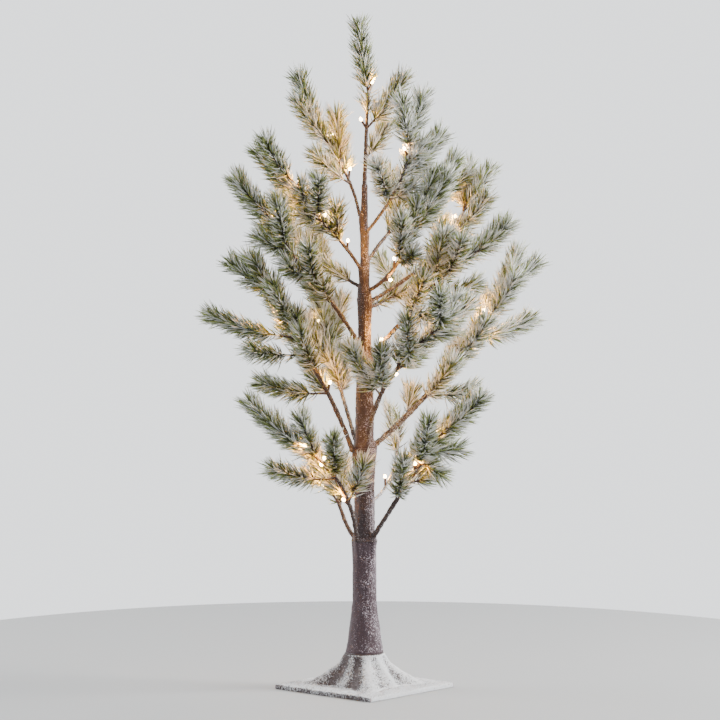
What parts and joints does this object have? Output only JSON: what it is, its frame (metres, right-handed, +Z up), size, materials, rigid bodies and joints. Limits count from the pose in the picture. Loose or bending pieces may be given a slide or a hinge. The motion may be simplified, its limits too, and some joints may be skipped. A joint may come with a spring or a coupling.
{
  "type": "artificial tabletop tree",
  "caption": "Flocked artificial twig tree on a fluted square base, with foldable lit branches, a lift-out trunk and a battery door under the base.",
  "frame": {"origin": "centre of the base underside, on the trunk axis", "axes": "+Z up along the trunk; -Y towards the front corner of the base plate; +X to the right seen from the front"},
  "size_m": [0.4646, 0.3554, 0.9126],
  "materials": {
    "frosted_plastic": "flocked with white snow grain over mauve-brown bark",
    "black_plastic": "fine matt",
    "steel": "plated",
    "bark_paper": "wound bark paper with snow flecks",
    "branch_wire": "steel wire bound in brown bark tape",
    "needles": "dusty green plastic needles, tips flocked white",
    "circuit_board": "solder mask",
    "cell_sleeve": "printed sleeve without text",
    "plug_brass": "plain"
  },
  "bodies": {
    "base": {"base_shell": "frosted_plastic", "base_cover": "black_plastic", "cover_screw_1": "steel", "cover_screw_2": "steel", "battery_holder": "black_plastic", "battery_cell_inner": "cell_sleeve", "battery_cell_outer": "cell_sleeve", "left_contact": "steel", "right_contact": "steel", "ballast_plate": "steel", "timer_board": "circuit_board", "switch_body": "black_plastic", "power_jack": "plug_brass"},
    "battery_door": {"battery_door": "black_plastic"},
    "switch_slider": {"switch_slider": "frosted_plastic"},
    "trunk": {"trunk_pole": "steel", "power_plug": "plug_brass", "trunk_skirt": "frosted_plastic", "lower_trunk_wrap": "bark_paper", "middle_trunk_wrap": "bark_paper", "upper_trunk_wrap": "bark_paper", "top_trunk_wrap": "bark_paper", "leader_wire": "branch_wire", "leader_needles": "needles"},
    "low_left_back": {"low_left_back_wire": "branch_wire", "low_left_back_needles": "needles"},
    "low_left_front": {"low_left_front_wire": "branch_wire", "low_left_front_needles": "needles"},
    "low_right_front": {"low_right_front_wire": "branch_wire", "low_right_front_needles": "needles"},
    "low_right_back": {"low_right_back_wire": "branch_wire", "low_right_back_needles": "needles"},
    "mid_left_front": {"mid_left_front_wire": "branch_wire", "mid_left_front_needles": "needles"},
    "mid_left_back": {"mid_left_back_wire": "branch_wire", "mid_left_back_needles": "needles"},
    "mid_front": {"mid_front_wire": "branch_wire", "mid_front_needles": "needles"},
    "mid_right_long": {"mid_right_long_wire": "branch_wire", "mid_right_long_needles": "needles"},
    "upper_right_front": {"upper_right_front_wire": "branch_wire", "upper_right_front_needles": "needles"},
    "upper_right_back": {"upper_right_back_wire": "branch_wire", "upper_right_back_needles": "needles"},
    "upper_right_inner": {"upper_right_inner_wire": "branch_wire", "upper_right_inner_needles": "needles"},
    "top_right_back": {"top_right_back_wire": "branch_wire", "top_right_back_needles": "needles"},
    "top_right_front": {"top_right_front_wire": "branch_wire", "top_right_front_needles": "needles"},
    "upper_left_back": {"upper_left_back_wire": "branch_wire", "upper_left_back_needles": "needles"},
    "upper_left_front": {"upper_left_front_wire": "branch_wire", "upper_left_front_needles": "needles"},
    "top_left_front": {"top_left_front_wire": "branch_wire", "top_left_front_needles": "needles"},
    "top_left_back": {"top_left_back_wire": "branch_wire", "top_left_back_needles": "needles"},
    "mid_right_back": {"mid_right_back_wire": "branch_wire", "mid_right_back_needles": "needles"}
  },
  "joints": [
    {"name": "trunk_lift", "type": "slide", "parent": "base", "child": "trunk", "axis": [0, 0, 1], "range_m": [0, 0.036]},
    {"name": "battery_door_hinge", "type": "hinge", "parent": "base", "child": "battery_door", "pos_m": [0, 0.0315, 0.001], "axis": [1, 0, 0], "range_deg": [0, 105]},
    {"name": "switch_slide", "type": "slide", "parent": "base", "child": "switch_slider", "axis": [1, 0, 0], "range_m": [-0.0025, 0.0025]},
    {"name": "low_left_back_fold", "type": "hinge", "parent": "trunk", "child": "low_left_back", "pos_m": [-0.01275, 0.0152, 0.205], "axis": [0.766, 0.6428, 0], "range_deg": [-25, 15], "deforming": ["low_left_back_needles"]},
    {"name": "low_left_front_fold", "type": "hinge", "parent": "trunk", "child": "low_left_front", "pos_m": [-0.01138, -0.01625, 0.205], "axis": [-0.5736, 0.8191, 0], "range_deg": [-25, 4], "deforming": ["low_left_front_needles"]},
    {"name": "low_right_front_fold", "type": "hinge", "parent": "trunk", "child": "low_right_front", "pos_m": [0.01152, -0.01373, 0.21], "axis": [-0.5736, -0.8191, 0], "range_deg": [-25, 10], "deforming": ["low_right_front_needles"]},
    {"name": "low_right_back_fold", "type": "hinge", "parent": "trunk", "child": "low_right_back", "pos_m": [0.0105, 0.01251, 0.255], "axis": [0.766, -0.6428, 0], "range_deg": [-25, 15], "deforming": ["low_right_back_needles"]},
    {"name": "mid_left_front_fold", "type": "hinge", "parent": "trunk", "child": "mid_left_front", "pos_m": [-0.01597, -0.00282, 0.325], "axis": [-0.1736, 0.9848, 0], "range_deg": [-25, 12], "deforming": ["mid_left_front_needles"]},
    {"name": "mid_left_back_fold", "type": "hinge", "parent": "trunk", "child": "mid_left_back", "pos_m": [-0.01199, 0.01006, 0.34], "axis": [0.6428, 0.766, 0], "range_deg": [-25, 6], "deforming": ["mid_left_back_needles"]},
    {"name": "mid_front_fold", "type": "hinge", "parent": "trunk", "child": "mid_front", "pos_m": [0.00272, -0.01542, 0.34], "axis": [-0.7071, -0.7071, 0], "range_deg": [-12, 8], "deforming": ["mid_front_needles"]},
    {"name": "mid_right_long_fold", "type": "hinge", "parent": "trunk", "child": "mid_right_long", "pos_m": [0.01605, 0.0014, 0.335], "axis": [0.0872, -0.9962, 0], "range_deg": [-25, 15], "deforming": ["mid_right_long_needles"]},
    {"name": "upper_right_front_fold", "type": "hinge", "parent": "trunk", "child": "upper_right_front", "pos_m": [0.01128, -0.0041, 0.46], "axis": [-0.342, -0.9397, 0], "range_deg": [-18, 10], "deforming": ["upper_right_front_needles"]},
    {"name": "upper_right_back_fold", "type": "hinge", "parent": "trunk", "child": "upper_right_back", "pos_m": [0.01015, 0.00473, 0.53], "axis": [0.4226, -0.9063, 0], "range_deg": [-25, 15], "deforming": ["upper_right_back_needles"]},
    {"name": "upper_right_inner_fold", "type": "hinge", "parent": "trunk", "child": "upper_right_inner", "pos_m": [0.00674, -0.00566, 0.545], "axis": [-0.6428, -0.766, 0], "range_deg": [-25, 8], "deforming": ["upper_right_inner_needles"]},
    {"name": "top_right_back_fold", "type": "hinge", "parent": "trunk", "child": "top_right_back", "pos_m": [0.00579, 0.00579, 0.585], "axis": [0.7071, -0.7071, 0], "range_deg": [-25, 4], "deforming": ["top_right_back_needles"]},
    {"name": "top_right_front_fold", "type": "hinge", "parent": "trunk", "child": "top_right_front", "pos_m": [0.00379, -0.00657, 0.625], "axis": [-0.866, -0.5, 0], "range_deg": [-25, 8], "deforming": ["top_right_front_needles"]},
    {"name": "upper_left_back_fold", "type": "hinge", "parent": "trunk", "child": "upper_left_back", "pos_m": [-0.00756, 0.00436, 0.55], "axis": [0.5, 0.866, 0], "range_deg": [-18, 15], "deforming": ["upper_left_back_needles"]},
    {"name": "upper_left_front_fold", "type": "hinge", "parent": "trunk", "child": "upper_left_front", "pos_m": [-0.00208, -0.01182, 0.46], "axis": [-0.4226, 0.9063, 0], "range_deg": [-25, 10], "deforming": ["upper_left_front_needles"]},
    {"name": "top_left_front_fold", "type": "hinge", "parent": "trunk", "child": "top_left_front", "pos_m": [-0.00639, -0.00536, 0.575], "axis": [-0.6428, 0.766, 0], "range_deg": [-25, 8], "deforming": ["top_left_front_needles"]},
    {"name": "top_left_back_fold", "type": "hinge", "parent": "trunk", "child": "top_left_back", "pos_m": [-0.0066, 0.00308, 0.645], "axis": [0.4226, 0.9063, 0], "range_deg": [-25, 8], "deforming": ["top_left_back_needles"]},
    {"name": "mid_right_back_fold", "type": "hinge", "parent": "trunk", "child": "mid_right_back", "pos_m": [0.00566, 0.0098, 0.52], "axis": [0.866, -0.5, 0], "range_deg": [-25, 15], "deforming": ["mid_right_back_needles"]}
  ]
}
